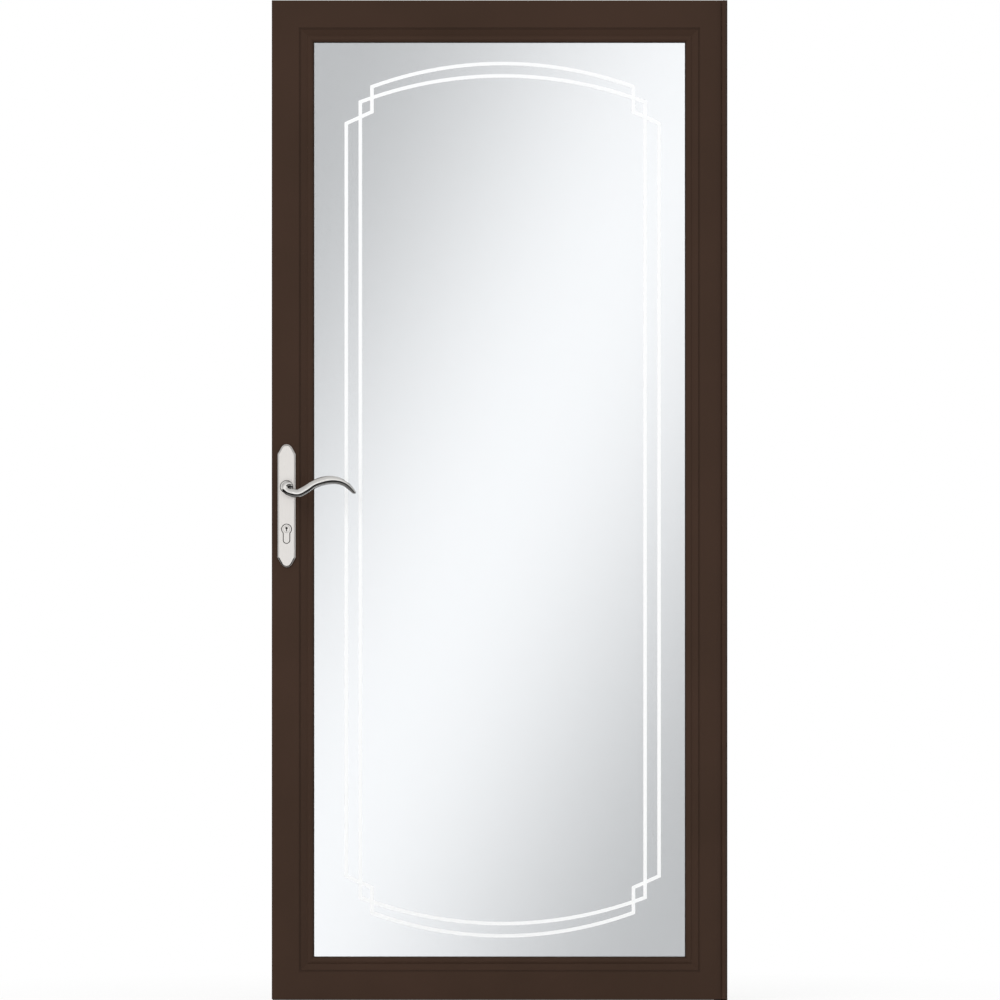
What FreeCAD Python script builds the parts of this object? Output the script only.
"""Full-view aluminium storm door with a wave lever set, hung on a continuous hinge.

Millimetres, +Z up. The outside of the door faces -Y and the hinge is on the +X side. The origin lies on
the outer face of the hinge-side jamb bar, at sill level and in the middle of the bar's depth.
"""

import FreeCAD
import Part
import Sketcher
import math
import os
from types import SimpleNamespace

SIZES = {
    # the leaf as a whole
    "door_width": 914,
    "door_height": 2004,
    "sill_gap": 6,
    "leaf_depth": 38,
    "wall": 1.6,
    "edge_radius": 2,
    "hinge_edge_radius": 0.5,
    "saw_margin": 10,
    # hollow frame members, measured inwards from the edge of the door
    "frame_face": 55,
    "groove": 3.5,
    "fin_depth": 2,
    "fin_reach": 3.2,
    # moulded frame of the glass insert
    "crease": 71,
    "sight_line": 84,
    "moulding_set": 1,
    "crease_depth": 4.5,
    "bead_radius": 9,
    "bead_edge": 7.5,
    "moulding_back": 9.5,
    "insert_shoulder": 2.5,
    "insert_lip": 78,
    # glass and its vinyl
    "glass_thickness": 4,
    "vinyl_thickness": 3.5,
    "glass_edge": 61,
    "vinyl_show": 1.2,
    # inside retainer strips
    "retainer_foot": 76,
    "retainer_top": 60,
    "retainer_set": 2,
    "retainer_toe": 2,
    # bottom skirt, expander and sweep
    "skirt": 10,
    "expander_depth": 30,
    "expander_leg": 8,
    "fin_thickness": 2,
    "sweep_drop": 4,
    # hinge-side jamb bar and its seal
    "bar_depth": 48,
    "bar_wall": 2,
    "bar_leg": 26,
    "seal_width": 8,
    "seal_inset": 14,
    "seal_gap": 1,
    "screw_radius": 2.5,
    "screw_margin": 60,
    "screw_count": 4,
    # continuous hinge
    "knuckle_radius": 5,
    "knuckle_pairs": 4,
    "knuckle_gap": 0.5,
    "strip_thickness": 1.5,
    "strip_depth": 34,
    "hinge_proud": 2,
    "pin_radius": 2,
    "pin_fit": 0.2,
    # lock: spindle, cylinder, case and faceplate
    "backset": 29.8,
    "lever_rise": 1028,
    "cylinder_drop": 85,
    "spindle_side": 8,
    "spindle_fit": 0.15,
    "spindle_bite": 16,
    "spindle_clear": 7,
    "case_depth": 18,
    "case_reach": 49,
    "case_height": 190,
    "faceplate_width": 20,
    "faceplate_height": 235,
    "bolt_depth": 12,
    "bolt_height": 20,
    "bolt_length": 20,
    "bolt_fit": 0.2,
    "dead_bolt_drop": 72,
    # escutcheons
    "plate_width": 34.7,
    "plate_above": 84.5,
    "plate_below": 161.2,
    "plate_thickness": 7,
    "plate_bevel": 2.6,
    "cap_radius": 11.5,
    "ear_drop": 19,
    "plate_fit": 1.6,
    # profile cylinder
    "barrel_radius": 9.2,
    "barrel_leg": 11.6,
    "barrel_height": 37,
    "barrel_fit": 0.3,
    "barrel_proud": 2,
    "keyway_width": 1.8,
    "keyway_height": 9,
    "keyway_head": 2.4,
    "keyway_depth": 12,
    # lever
    "hub_radius": 14.4,
    "hub_height": 6,
    "hub_gap": 0.5,
    "neck_radius": 8.5,
    "dome_rise": 3,
    "grip_out": 52,
    "grip_pitch": 7,
    "grip_height": 16,
    "grip_depth": 12,
    "root_height": 12,
    "root_depth": 9,
    "tip_height": 7,
    "tip_depth": 5.5,
    "dip_at": 22,
    "dip": 13,
    "climb_at": 50.5,
    "climb_rise": 1.4,
    "crest_at": 90,
    "crest_rise": 13.6,
    "reach": 136,
    "tip_drop": 13.6,
    "hub_slope": -42,
    "climb_slope": 33,
    "tip_slope": -50,
}

doc = FreeCAD.newDocument("StormDoor")
sheet = doc.addObject("Spreadsheet::Sheet", "Sizes")
for row, (alias, value) in enumerate(SIZES.items(), start=1):
    sheet.set(f"A{row}", alias)
    sheet.set(f"B{row}", str(value))
    sheet.setAlias(f"B{row}", alias)
doc.recompute()


class Size:
    """A number that remembers the sheet formula it comes from, so drawings stay bound to the sheet."""

    def __init__(self, formula, value):
        self.formula = formula
        self.value = value

    def joined(self, sign, other, value):
        return Size(f"({self.formula} {sign} {formula_of(other)})", value)

    def __add__(self, other):
        return self.joined("+", other, self.value + value_of(other))

    def __sub__(self, other):
        return self.joined("-", other, self.value - value_of(other))

    def __radd__(self, other):
        return Size(formula_of(other), value_of(other)) + self

    def __rsub__(self, other):
        return Size(formula_of(other), value_of(other)) - self

    def __mul__(self, other):
        return self.joined("*", other, self.value * value_of(other))

    def __truediv__(self, other):
        return self.joined("/", other, self.value / value_of(other))

    def __neg__(self):
        return self * -1


def formula_of(item):
    return item.formula if isinstance(item, Size) else f"({item})"


def value_of(item):
    return item.value if isinstance(item, Size) else item


def root(size):
    return Size(f"sqrt({size.formula})", math.sqrt(size.value))


dim = SimpleNamespace(**{name: Size(f"Sizes.{name}", float(sheet.get(name))) for name in SIZES})

# places that several pieces share
hinge_inset = dim.bar_wall + dim.knuckle_radius * 2
hinge_line = dim.bar_wall + dim.knuckle_radius
door_top = dim.sill_gap + dim.door_height
outside = -(dim.bar_depth / 2)
inside = outside + dim.leaf_depth
moulding_out = dim.frame_face + dim.groove
insert_out = moulding_out - dim.insert_shoulder
fin_back = dim.fin_depth + dim.wall
channel_floor = insert_out + dim.wall
glass_front = dim.moulding_back + dim.vinyl_thickness
glass_back = glass_front + dim.glass_thickness
channel_back = glass_back + dim.vinyl_thickness
insert_back = channel_back + dim.wall
plate_seat = dim.plate_thickness + dim.hub_gap
lever_height = dim.sill_gap + dim.lever_rise
lock_line = dim.backset - dim.door_width
subparts = []


def new_body(label):
    body = doc.addObject("PartDesign::Body", label)
    body.Label = label
    subparts.append(body)
    return body


def place(item, x, y, z, inward=FreeCAD.Vector(1, 0, 0)):
    """Turn a piece about Y so that its own x axis points inward, and bind its position to the sheet."""
    depth = FreeCAD.Vector(0, 1, 0)
    turn = FreeCAD.Rotation(inward, depth, inward.cross(depth), "XYZ")
    item.Placement = FreeCAD.Placement(FreeCAD.Vector(), turn)
    for letter, size in zip("xyz", (x, y, z)):
        item.setExpression(f"Placement.Base.{letter}", formula_of(size))


def new_sketch(body, name, plane, lift=0):
    """A sketch on one of the body's own planes, lifted along the plane's normal."""
    sketch = body.newObject("Sketcher::SketchObject", name)
    support = [item for item in body.Origin.OriginFeatures if item.Role == plane][0]
    sketch.AttachmentSupport = (support, [""])
    sketch.MapMode = "FlatFace"
    sketch.setExpression("AttachmentOffset.Base.z", formula_of(lift))
    return sketch


def bind(sketch, kind, *items):
    """Add a constraint whose last item is a size, and bind it to the sheet."""
    size = items[-1]
    index = sketch.addConstraint(Sketcher.Constraint(kind, *items[:-1], value_of(size)))
    sketch.setExpression(f"Constraints[{index}]", formula_of(size))


def hold_point(sketch, geometry, point, x, y):
    """Fix a point at its two coordinates; a plain zero puts it on the axis."""
    for kind, axis, size in (("DistanceX", -2, x), ("DistanceY", -1, y)):
        if isinstance(size, Size):
            bind(sketch, kind, -1, 1, geometry, point, size)
        else:
            sketch.addConstraint(Sketcher.Constraint("PointOnObject", geometry, point, axis))


def draw_loop(sketch, corners):
    """Draw a closed loop, anticlockwise. A corner with a third item, a radius, starts a bulging side."""
    points = [FreeCAD.Vector(value_of(corner[0]), value_of(corner[1])) for corner in corners]
    first = sketch.GeometryCount
    for here, corner in enumerate(corners):
        start = points[here]
        end = points[(here + 1) % len(points)]
        if len(corner) == 2:
            sketch.addGeometry(Part.LineSegment(start, end))
            continue
        radius = value_of(corner[2])
        chord = end - start
        left = FreeCAD.Vector(-chord.y, chord.x) / chord.Length
        rise = math.sqrt(radius**2 - (chord.Length / 2) ** 2)
        middle = (start + end) / 2 + left * (rise - radius)
        sketch.addGeometry(Part.Arc(start, middle, end))
    for here, corner in enumerate(corners):
        after = (here + 1) % len(corners)
        sketch.addConstraint(Sketcher.Constraint("Coincident", first + here, 2, first + after, 1))
        if len(corner) == 3:
            bind(sketch, "Radius", first + here, corner[2])
    for here, corner in enumerate(corners):
        hold_point(sketch, first + here, 1, corner[0], corner[1])


def draw_circle(sketch, x, y, radius):
    centre = FreeCAD.Vector(value_of(x), value_of(y))
    circle = sketch.addGeometry(Part.Circle(centre, FreeCAD.Vector(0, 0, 1), radius.value))
    hold_point(sketch, circle, 3, x, y)
    bind(sketch, "Radius", circle, radius)


def rectangle(left, low, right, high):
    return [(left, low), (right, low), (right, high), (left, high)]


def outline(body, name, plane, loops, lift=0):
    sketch = new_sketch(body, name, plane, lift)
    for loop in loops:
        draw_loop(sketch, loop)
    return sketch


def pad(body, name, sketch, length, reverse=False):
    feature = body.newObject("PartDesign::Pad", name)
    feature.Profile = sketch
    feature.Reversed = reverse
    feature.setExpression("Length", length.formula)
    return feature


def cut(body, name, sketch, length=None):
    """Cut evenly to both sides of the sketch, by the whole length given or right through."""
    doc.recompute()
    before = body.Shape.Volume
    feature = body.newObject("PartDesign::Pocket", name)
    feature.Profile = sketch
    feature.SideType = "Symmetric"
    feature.Type = "ThroughAll" if length is None else "Length"
    if length is not None:
        feature.setExpression("Length", length.formula)
    doc.recompute()
    if not body.Shape.Volume < before:
        raise RuntimeError(f"{body.Label}: {name} cuts nothing")
    return feature


def pattern_up(body, name, originals, pitch, count):
    """Repeat features along the body's own Z axis."""
    feature = body.newObject("PartDesign::LinearPattern", name)
    feature.Originals = originals
    axis = [item for item in body.Origin.OriginFeatures if item.Role == "Z_Axis"][0]
    feature.Direction = (axis, [""])
    feature.Mode = "Spacing"
    feature.setExpression("Offset", pitch.formula)
    feature.setExpression("Occurrences", count.formula)
    body.Tip = feature
    return feature


# The four sides of the door. Each has its own frame: x runs inwards from the edge, y runs in from the
# outside face and z runs along the side, so the same profile makes all four members of a ring.
SIDES = {
    "latch": (-dim.door_width, dim.sill_gap, FreeCAD.Vector(1, 0, 0)),
    "top": (-dim.door_width, door_top, FreeCAD.Vector(0, 0, -1)),
    "hinge": (0, door_top, FreeCAD.Vector(-1, 0, 0)),
    "bottom": (0, dim.sill_gap, FreeCAD.Vector(0, 0, 1)),
}
SIDE_LENGTHS = {
    "latch": dim.door_height,
    "top": dim.door_width,
    "hinge": dim.door_height,
    "bottom": dim.door_width,
}


def side_body(label, side):
    """A body in the frame of one side of the door."""
    x, z, inward = SIDES[side]
    body = new_body(label)
    place(body, x, outside, z, inward)
    return body


def member(label, side, loops):
    """One side of a mitred ring: an extrusion sawn at 45 degrees at both ends."""
    body = side_body(label, side)
    length = SIDE_LENGTHS[side]
    pad(body, "Extrusion", outline(body, "Profile", "XY_Plane", loops), length)
    reach = dim.sight_line + dim.saw_margin
    start = [(0, 0), (reach, 0), (reach, reach)]
    end = [(0, length), (reach, length - reach), (reach, length)]
    cut(body, "StartMitre", outline(body, "StartSaw", "XZ_Plane", [start]))
    cut(body, "EndMitre", outline(body, "EndSaw", "XZ_Plane", [end]))
    return body


def square_end(body, low, high):
    """Saw the outer corner of a rail off square, to leave room for the hinge."""
    saw = outline(body, "SquareSaw", "XZ_Plane", [rectangle(0, low, hinge_inset, high)])
    cut(body, "SquareEnd", saw)


def frame_loops(edge, bend=dim.edge_radius):
    """Hollow section with rounded outer edges and a fin that stops the glass insert."""
    near = edge + bend
    section = [
        (edge, bend, bend),
        (near, 0),
        (dim.frame_face, 0),
        (dim.frame_face, dim.fin_depth),
        (dim.frame_face + dim.fin_reach, dim.fin_depth),
        (dim.frame_face + dim.fin_reach, fin_back),
        (dim.frame_face, fin_back),
        (dim.frame_face, dim.leaf_depth),
        (near, dim.leaf_depth, bend),
        (edge, dim.leaf_depth - bend),
    ]
    void = rectangle(edge + dim.wall, dim.wall, dim.frame_face - dim.wall, dim.leaf_depth - dim.wall)
    return [section, void]


def skirted_loops():
    """Section of the bottom rail: its outside face hangs down as a skirt in front of the sweep."""
    section, void = frame_loops(dim.skirt)
    section[:2] = [(0, 0)]
    section += [(dim.skirt, dim.wall), (0, dim.wall)]
    return [section, void]


def make_frame():
    make_latch_stile()
    top = member("top_rail", "top", frame_loops(0))
    square_end(top, dim.door_width - hinge_inset, dim.door_width)
    member("hinge_stile", "hinge", frame_loops(hinge_inset, dim.hinge_edge_radius))
    bottom = member("bottom_rail", "bottom", skirted_loops())
    square_end(bottom, 0, hinge_inset)


def barrel_leg(x, y, fit):
    """The narrow, round-footed leg below the barrel of a profile cylinder, widened by a fit."""
    half = dim.barrel_leg / 2 + fit
    toe = y - (dim.barrel_height - dim.barrel_radius) - fit
    top = y - dim.barrel_radius / 2
    return [
        (x + half, top),
        (x - half, top),
        (x - half, toe + half, half),
        (x, toe, half),
        (x + half, toe + half),
    ]


def cut_round(body, name, x, y, radius):
    hole = new_sketch(body, name + "Round", "XZ_Plane")
    draw_circle(hole, x, y, radius)
    cut(body, name + "Hole", hole)


def cut_cylinder(body, x, y, fit):
    """Cut the keyhole shape of the lock cylinder in two steps: the round hole and the leg below it."""
    cut_round(body, "Cylinder", x, y, dim.barrel_radius + fit)
    cut(body, "CylinderSlot", outline(body, "CylinderLeg", "XZ_Plane", [barrel_leg(x, y, fit)]))


faceplate_middle = dim.lever_rise + (dim.plate_above - dim.plate_below) / 2
lock_depth = dim.leaf_depth / 2


def edge_window(body, name, height, depth, middle, lift=0):
    """A rectangle on the latch edge, or lifted in from it, centred on the leaf's depth."""
    low = lock_depth - depth / 2
    high = lock_depth + depth / 2
    window = rectangle(low, middle - height / 2, high, middle + height / 2)
    return outline(body, name, "YZ_Plane", [window], lift)


def make_latch_stile():
    stile = member("latch_stile", "latch", frame_loops(0))
    height, width = dim.faceplate_height, dim.faceplate_width
    window = edge_window(stile, "FaceplateWindow", height, width, faceplate_middle)
    cut(stile, "FaceplateMortise", window, dim.saw_margin)
    cut_round(stile, "Spindle", dim.backset, dim.lever_rise, dim.spindle_clear)
    cut_cylinder(stile, dim.backset, dim.lever_rise - dim.cylinder_drop, dim.barrel_fit)


def make_insert():
    """Moulded frame round the glass: a sloping fillet, a crease, a round bead and a channel behind."""
    section = [
        (moulding_out, dim.moulding_set),
        (dim.crease, dim.crease_depth, dim.bead_radius),
        (dim.sight_line, dim.bead_edge),
        (dim.sight_line, dim.moulding_back),
        (channel_floor, dim.moulding_back),
        (channel_floor, channel_back),
        (dim.insert_lip, channel_back),
        (dim.insert_lip, insert_back),
        (insert_out, insert_back),
        (insert_out, fin_back),
        (moulding_out, fin_back),
    ]
    void = [
        (moulding_out + dim.wall, dim.moulding_set + dim.wall * 2),
        (dim.crease, dim.crease_depth + dim.wall),
        (dim.sight_line - dim.wall * 2, dim.crease_depth + dim.wall),
        (dim.sight_line - dim.wall * 2, dim.moulding_back - dim.wall),
        (moulding_out + dim.wall, dim.moulding_back - dim.wall),
    ]
    for side in SIDES:
        member(f"{side}_insert_moulding", side, [section, void])


def opening(edge):
    """The rectangle that lies a given distance inside the door's four edges, seen from outside."""
    return rectangle(edge, edge, dim.door_width - edge, dim.door_height - edge)


def make_glass():
    glass = new_body("glass_pane")
    place(glass, -dim.door_width, outside, dim.sill_gap)
    pane = outline(glass, "Pane", "XZ_Plane", [opening(dim.glass_edge)], -glass_front)
    pad(glass, "Sheet", pane, dim.glass_thickness, reverse=True)


def make_vinyl():
    """Soft channel that wraps the edge of the glass and shows as a thin line round it."""
    vinyl = new_body("glazing_vinyl")
    place(vinyl, -dim.door_width, outside, dim.sill_gap)
    ring = [opening(channel_floor), opening(dim.sight_line + dim.vinyl_show)]
    front = outline(vinyl, "Ring", "XZ_Plane", ring, -dim.moulding_back)
    pad(vinyl, "Wrap", front, channel_back - dim.moulding_back, reverse=True)
    glass_middle = (glass_front + glass_back) / 2
    groove = outline(vinyl, "GlassEdge", "XZ_Plane", [opening(dim.glass_edge)], -glass_middle)
    cut(vinyl, "GlassGroove", groove, dim.glass_thickness)
    back = outline(vinyl, "BackEdge", "XZ_Plane", [opening(dim.insert_lip)], -channel_back)
    cut(vinyl, "BackTrim", back, dim.vinyl_thickness * 2)


def make_retainers():
    """Hollow snap-in strips that hold the insert from inside."""
    back = dim.leaf_depth - dim.retainer_set
    section = [
        (dim.frame_face, insert_back),
        (dim.retainer_foot, insert_back),
        (dim.retainer_foot, insert_back + dim.retainer_toe),
        (dim.retainer_top, back),
        (dim.frame_face, back),
    ]
    void = [
        (dim.frame_face + dim.wall, insert_back + dim.wall),
        (dim.retainer_foot - dim.wall * 2, insert_back + dim.wall),
        (dim.retainer_top - dim.wall, back - dim.wall),
        (dim.frame_face + dim.wall, back - dim.wall),
    ]
    for side in SIDES:
        member(f"{side}_retainer", side, [section, void])


def make_sweep():
    """Channel under the bottom rail and the pair of soft fins that hang from it."""
    run = dim.door_width - hinge_inset - dim.wall
    low = dim.skirt - dim.expander_leg
    near = lock_depth - dim.expander_depth / 2
    far = lock_depth + dim.expander_depth / 2
    inner = dim.skirt - dim.wall
    expander = side_body("bottom_expander", "bottom")
    channel = [
        (low, near),
        (dim.skirt, near),
        (dim.skirt, far),
        (low, far),
        (low, far - dim.wall),
        (inner, far - dim.wall),
        (inner, near + dim.wall),
        (low, near + dim.wall),
    ]
    pad(expander, "Extrusion", outline(expander, "Profile", "XY_Plane", [channel], hinge_inset), run)
    sweep = side_body("door_sweep", "bottom")
    tip = -(dim.sill_gap - dim.sweep_drop)
    first = near + dim.wall
    last = far - dim.wall
    fins = [
        (tip, first),
        (inner, first),
        (inner, last),
        (tip, last),
        (tip, last - dim.fin_thickness),
        (inner - dim.fin_thickness, last - dim.fin_thickness),
        (inner - dim.fin_thickness, first + dim.fin_thickness),
        (tip, first + dim.fin_thickness),
    ]
    pad(sweep, "Extrusion", outline(sweep, "Profile", "XY_Plane", [fins], hinge_inset), run)


screw_pitch = (door_top - dim.screw_margin * 2) / (dim.screw_count - 1)


def drill_screws(body, lift, depth, low):
    """A row of screw holes through the bar or the hinge strip, evenly spaced up the jamb."""
    sketch = new_sketch(body, "FirstScrew", "YZ_Plane", lift)
    draw_circle(sketch, depth, low, dim.screw_radius)
    first = cut(body, "ScrewHole", sketch, dim.saw_margin)
    pattern_up(body, "ScrewHoles", [first], screw_pitch, dim.screw_count)


def make_jamb_bar():
    """Bar that is screwed to the jamb, the stop leg along its inside edge and a bulb seal on the leg."""
    bar = side_body("hinge_jamb_bar", "hinge")
    web = rectangle(0, 0, dim.bar_wall, dim.bar_depth)
    pad(bar, "Extrusion", outline(bar, "Profile", "XY_Plane", [web]), door_top)
    drill_screws(bar, 0, dim.bar_depth / 2, dim.screw_margin)
    leg_front = dim.bar_depth - dim.bar_wall
    leg = side_body("jamb_stop_leg", "hinge")
    stop = rectangle(dim.bar_wall, leg_front, dim.bar_leg, dim.bar_depth)
    pad(leg, "Extrusion", outline(leg, "Profile", "XY_Plane", [stop]), door_top)
    seal = side_body("jamb_seal", "hinge")
    bulb = dim.seal_width / 2
    crown = dim.leaf_depth + dim.seal_gap + bulb
    strip = [
        (dim.seal_inset, crown, bulb),
        (dim.seal_inset + bulb, crown - bulb, bulb),
        (dim.seal_inset + dim.seal_width, crown),
        (dim.seal_inset + dim.seal_width, leg_front),
        (dim.seal_inset, leg_front),
    ]
    pad(seal, "Extrusion", outline(seal, "Profile", "XY_Plane", [strip]), door_top)


knuckle_pitch = dim.door_height / dim.knuckle_pairs
knuckle_length = knuckle_pitch / 2 - dim.knuckle_gap


def mirrored(loop, x_sign, y_sign):
    """The same loop mirrored across one of the axes, and still drawn anticlockwise."""
    backwards = reversed(range(len(loop)))
    return [(loop[n][0] * x_sign, loop[n][1] * y_sign, *loop[n - 1][2:]) for n in backwards]


def knuckle_loop(side):
    """Outline of a knuckle: a round barrel whose outer side runs on, tangent, into the strip."""
    radius = dim.knuckle_radius
    inner = radius - dim.strip_thickness
    overlap = radius + dim.strip_thickness
    loop = [
        (inner, overlap),
        (inner, root(radius * radius - inner * inner), radius),
        (0, radius, radius),
        (-radius, 0, radius),
        (0, -radius, radius),
        (radius, 0),
        (radius, overlap),
    ]
    return loop if side > 0 else mirrored(loop, -1, 1)


def hinge_strip(label, side, lift):
    """One strip of the continuous hinge with every second knuckle of the barrel.

    Its own frame stands on the pin's axis; side is 1 for the strip on the jamb and -1 for the door's.
    """
    body = new_body(label)
    place(body, -hinge_line, outside - dim.hinge_proud, dim.sill_gap)
    radius = dim.knuckle_radius
    edges = sorted([(radius - dim.strip_thickness) * side, radius * side], key=value_of)
    back = dim.hinge_proud + dim.strip_depth
    strip = outline(body, "StripProfile", "XY_Plane", [rectangle(edges[0], radius, edges[1], back)])
    pad(body, "Strip", strip, dim.door_height)
    barrel = outline(body, "KnuckleProfile", "XY_Plane", [knuckle_loop(side)], lift)
    draw_circle(barrel, 0, 0, dim.pin_radius + dim.pin_fit)
    knuckle = pad(body, "Knuckle", barrel, knuckle_length)
    doc.recompute()
    pattern_up(body, "Knuckles", [knuckle], knuckle_pitch, dim.knuckle_pairs)
    return body


def make_hinge():
    fixed = hinge_strip("jamb_hinge_strip", 1, 0)
    screw_depth = dim.bar_depth / 2 + dim.hinge_proud
    drill_screws(fixed, dim.knuckle_radius, screw_depth, dim.screw_margin - dim.sill_gap)
    hinge_strip("door_hinge_strip", -1, knuckle_pitch / 2)
    pin = doc.addObject("Part::Cylinder", "hinge_pin")
    pin.Label = "hinge_pin"
    pin.setExpression("Radius", dim.pin_radius.formula)
    pin.setExpression("Height", dim.door_height.formula)
    place(pin, -hinge_line, outside - dim.hinge_proud, dim.sill_gap)
    subparts.append(pin)


def lock_body(label):
    """A piece of the lock in the latch side's own frame."""
    body = new_body(label)
    place(body, -dim.door_width, outside, dim.sill_gap)
    return body


def make_lock():
    """Lock case in the stile, its faceplate on the latch edge and the two bolts, drawn back flush."""
    bolts = {"latch_bolt": dim.lever_rise, "dead_bolt": dim.lever_rise - dim.dead_bolt_drop}
    case = lock_body("lock_case")
    block = edge_window(case, "Block", dim.case_height, dim.case_depth, faceplate_middle, dim.wall)
    pad(case, "Case", block, dim.case_reach - dim.wall)
    faceplate = lock_body("lock_faceplate")
    strip = edge_window(faceplate, "Strip", dim.faceplate_height, dim.faceplate_width, faceplate_middle)
    pad(faceplate, "Plate", strip, dim.wall)
    for label, middle in bolts.items():
        height = dim.bolt_height + dim.bolt_fit * 2
        depth = dim.bolt_depth + dim.bolt_fit * 2
        for piece in (case, faceplate):
            window = edge_window(piece, f"{label}_window", height, depth, middle)
            cut(piece, f"{label}_hole", window, dim.bolt_length * 2)
        bolt = lock_body(label)
        end = edge_window(bolt, "End", dim.bolt_height, dim.bolt_depth, middle)
        pad(bolt, "Bolt", end, dim.bolt_length)
    cut_round(case, "Spindle", dim.backset, dim.lever_rise, dim.spindle_clear)
    cut_cylinder(case, dim.backset, dim.lever_rise - dim.cylinder_drop, dim.barrel_fit)


def make_cylinder():
    """Profile cylinder that is keyed from both sides."""
    cylinder = new_body("lock_cylinder")
    place(cylinder, lock_line, outside, lever_height - dim.cylinder_drop)
    proud = dim.plate_thickness + dim.barrel_proud
    length = dim.leaf_depth + proud * 2
    round_end = new_sketch(cylinder, "BarrelEnd", "XZ_Plane", proud)
    draw_circle(round_end, 0, 0, dim.barrel_radius)
    pad(cylinder, "Barrel", round_end, length, reverse=True)
    leg = outline(cylinder, "LegEnd", "XZ_Plane", [barrel_leg(0, 0, 0)], proud)
    pad(cylinder, "Leg", leg, length, reverse=True)
    half_way = dim.keyway_width / 2
    half_key = dim.keyway_height / 2
    head = half_key - dim.keyway_head
    keyway = rectangle(-half_way, -half_key, half_way, head)
    for name, end in (("OutsideKey", proud), ("InsideKey", proud - length)):
        slot = outline(cylinder, name, "XZ_Plane", [keyway], end)
        cut(cylinder, name + "way", slot, dim.keyway_depth * 2)
        round_head = new_sketch(cylinder, name + "Round", "XZ_Plane", end)
        draw_circle(round_head, 0, head, dim.keyway_head)
        cut(cylinder, name + "Head", round_head, dim.keyway_depth * 2)


def make_escutcheon(label, seat, front):
    """Long plate whose ends slope in to a round cap; seat is its back plane and front its bevelled side.

    The slopes are tangents from the ears, the corners of the plate's full width, to the circle of the cap.
    """
    plate = new_body(label)
    place(plate, lock_line, seat, lever_height)
    side = dim.plate_width / 2
    cap = dim.cap_radius
    fall = dim.ear_drop - cap
    square = side * side + fall * fall
    slope = root(square - cap * cap)
    touch = (side * cap + fall * slope) * cap / square
    cap_drop = cap - (side * slope - fall * cap) * cap / square
    top, low = dim.plate_above, -dim.plate_below
    loop = [
        (side, low + dim.ear_drop),
        (side, top - dim.ear_drop),
        (touch, top - cap_drop, cap),
        (0, top, cap),
        (-touch, top - cap_drop),
        (-side, top - dim.ear_drop),
        (-side, low + dim.ear_drop),
        (-touch, low + cap_drop, cap),
        (0, low, cap),
        (touch, low + cap_drop),
    ]
    face = outline(plate, "Outline", "XZ_Plane", [loop])
    slab = pad(plate, "Plate", face, dim.plate_thickness, front > 0)
    doc.recompute()
    ahead = FreeCAD.Vector(0, front, 0)
    normals = [facet.normalAt(0, 0) for facet in slab.Shape.Faces]
    bevel = plate.newObject("PartDesign::Chamfer", "Bevel")
    bevel.Base = (slab, [f"Face{n}" for n, normal in enumerate(normals, 1) if normal.isEqual(ahead, 0.01)])
    bevel.setExpression("Size", dim.plate_bevel.formula)
    cut_round(plate, "Spindle", 0, 0, dim.spindle_clear)
    cut_cylinder(plate, 0, -dim.cylinder_drop, dim.plate_fit)


def draw_ellipse(sketch, half_depth, half_height):
    """An upright ellipse round the sketch's origin."""
    centre = FreeCAD.Vector()
    tall = FreeCAD.Vector(0, half_height.value)
    wide = FreeCAD.Vector(-half_depth.value, 0)
    ellipse = sketch.addGeometry(Part.Ellipse(tall, wide, centre))
    sketch.exposeInternalGeometry(ellipse)
    sketch.addConstraint(Sketcher.Constraint("Coincident", ellipse, 3, -1, 1))
    sketch.addConstraint(Sketcher.Constraint("Vertical", ellipse + 1))
    bind(sketch, "Distance", ellipse + 1, half_height * 2)
    bind(sketch, "Distance", ellipse + 2, half_depth * 2)


def blend(start, end, share):
    return start + (end - start) * share


def wave_stations(knots):
    """Sections along the grip: a cubic curve with the knots' heights and slopes, in steps of about a pitch.

    A knot is x, height, slope in degrees, and the height and depth of the oval there.
    """
    rows = []
    for here, after in zip(knots, knots[1:]):
        span = after[0] - here[0]
        leave = span * math.tan(math.radians(value_of(here[2])))
        arrive = span * math.tan(math.radians(value_of(after[2])))
        steps = round(span.value / dim.grip_pitch.value)
        for step in range(steps):
            t = step / steps
            fall = (1 - t) ** 2
            rise = t**2
            centre = here[1] * (fall * (1 + 2 * t)) + after[1] * (rise * (3 - 2 * t))
            centre = centre + leave * (fall * t) - arrive * (rise * (1 - t))
            climb = (after[1] - here[1]) * (6 * t * (1 - t)) + leave * (1 - 4 * t + 3 * rise)
            climb = climb + arrive * (3 * rise - 2 * t)
            slope = math.degrees(math.atan2(climb.value, span.value))
            oval = [blend(here[3], after[3], t), blend(here[4], after[4], t)]
            rows.append((here[0] + span * t, centre, slope, *oval))
    return rows + [knots[-1]]


def grip_section(body, number, x, y, z, slope, height, depth):
    """One oval section of the grip, set square to the way the grip runs."""
    sketch = new_sketch(body, f"Section{number}", "YZ_Plane", x)
    sketch.AttachmentOffset = FreeCAD.Placement(
        sketch.AttachmentOffset.Base, FreeCAD.Rotation(FreeCAD.Vector(1, 0, 0), -value_of(slope))
    )
    sketch.setExpression("AttachmentOffset.Base.x", formula_of(y))
    sketch.setExpression("AttachmentOffset.Base.y", formula_of(z))
    draw_ellipse(sketch, depth / 2, height / 2)
    return sketch


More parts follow.
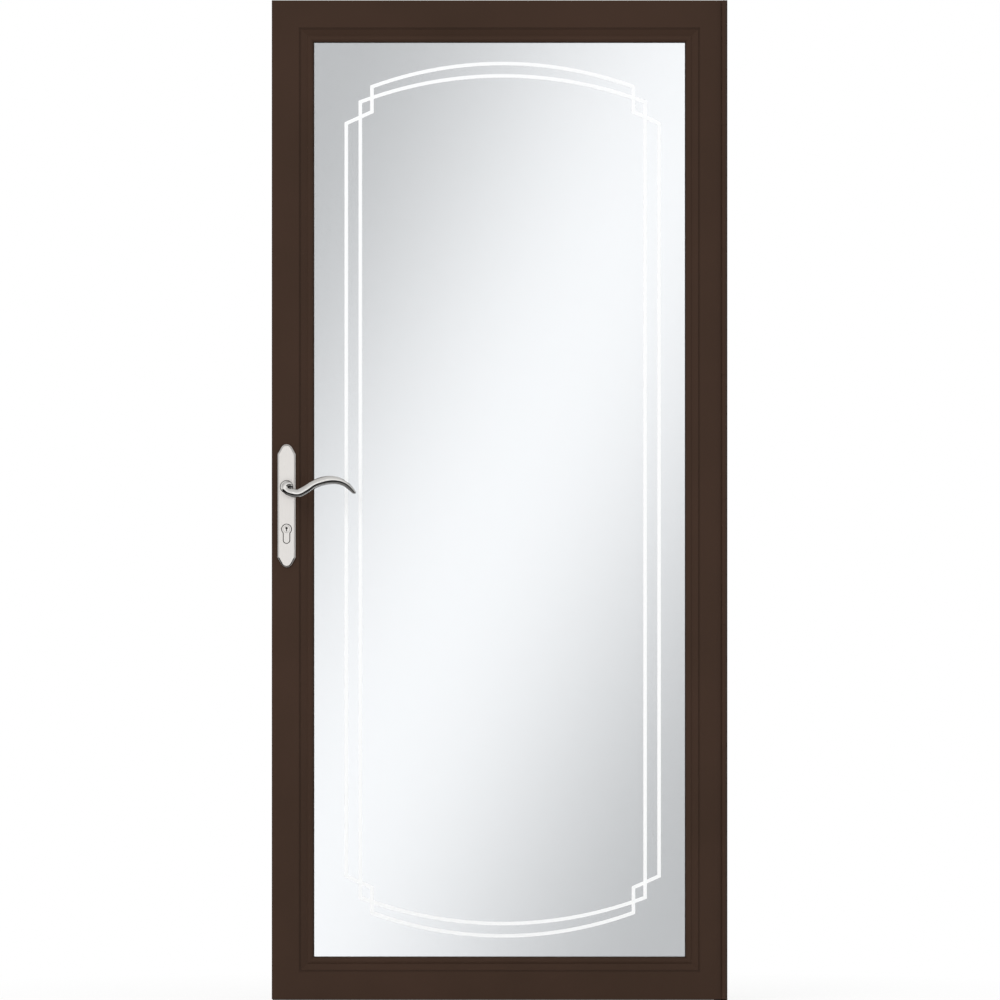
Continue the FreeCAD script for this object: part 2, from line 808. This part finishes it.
def make_lever(label, seat, side):
    """A turned hub with a wave-shaped grip lofted through oval sections; side is -1 outside, 1 inside."""
    lever = new_body(label)
    place(lever, lock_line, seat, lever_height)
    collar = plate_seat + dim.hub_height
    neck_end = dim.grip_out + dim.grip_depth / 2
    neck, rise = dim.neck_radius, dim.dome_rise
    half_profile = [
        (0, plate_seat),
        (dim.hub_radius, plate_seat),
        (dim.hub_radius, collar),
        (neck, collar),
        (neck, neck_end),
        (neck / 2, neck_end + rise),
        (0, neck_end + rise),
    ]
    loop = half_profile if side > 0 else mirrored(half_profile, 1, -1)
    turning = outline(lever, "HubProfile", "XY_Plane", [loop])
    hub = lever.newObject("PartDesign::Revolution", "Hub")
    hub.Profile = turning
    hub.ReferenceAxis = (turning, ["V_Axis"])
    hub.Angle = 360
    knots = [
        (0, 0, dim.hub_slope, dim.root_height, dim.root_depth),
        (dim.dip_at, -dim.dip, 0, dim.grip_height, dim.grip_depth),
        (dim.climb_at, dim.climb_rise, dim.climb_slope, dim.grip_height, dim.grip_depth),
        (dim.crest_at, dim.crest_rise, 0, dim.grip_height, dim.grip_depth),
        (dim.reach, -dim.tip_drop, dim.tip_slope, dim.tip_height, dim.tip_depth),
    ]
    sections = [
        grip_section(lever, number, x, dim.grip_out * side, z, slope, height, depth)
        for number, (x, z, slope, height, depth) in enumerate(wave_stations(knots))
    ]
    grip = lever.newObject("PartDesign::AdditiveLoft", "Grip")
    grip.Profile = sections[0]
    grip.Sections = sections[1:]
    grip.Ruled = True
    half = dim.spindle_side / 2 + dim.spindle_fit
    socket = outline(lever, "Socket", "XZ_Plane", [rectangle(-half, -half, half, half)], plate_seat * -side)
    cut(lever, "SpindleSocket", socket, (dim.spindle_bite + dim.spindle_fit) * 2)


def make_spindle():
    spindle = doc.addObject("Part::Box", "spindle")
    spindle.Label = "spindle"
    past_leaf = plate_seat + dim.spindle_bite
    spindle.setExpression("Length", dim.spindle_side.formula)
    spindle.setExpression("Width", (dim.leaf_depth + past_leaf * 2).formula)
    spindle.setExpression("Height", dim.spindle_side.formula)
    half = dim.spindle_side / 2
    place(spindle, lock_line - half, outside - past_leaf, lever_height - half)
    subparts.append(spindle)


def finish():
    """Check every object, then write each sub-part to its own file."""
    doc.recompute()
    for item in doc.Objects:
        if "Invalid" in item.State or "Error" in item.State:
            raise RuntimeError(f"{item.Label} did not build: {item.State}")
    for item in subparts:
        if item.Shape.isNull() or not item.Shape.isValid():
            raise RuntimeError(f"{item.Label} has no valid shape")
    os.makedirs("parts", exist_ok=True)
    for item in subparts:
        item.Shape.exportStep(f"parts/{item.Label}.step")
        print(item.Label, len(item.Shape.Solids), round(item.Shape.Volume))


make_frame()
make_insert()
make_glass()
make_vinyl()
make_retainers()
make_sweep()
make_jamb_bar()
make_hinge()
make_lock()
make_cylinder()
make_escutcheon("outside_escutcheon", outside, -1)
make_escutcheon("inside_escutcheon", inside, 1)
make_lever("outside_lever", outside, -1)
make_lever("inside_lever", inside, 1)
make_spindle()
finish()
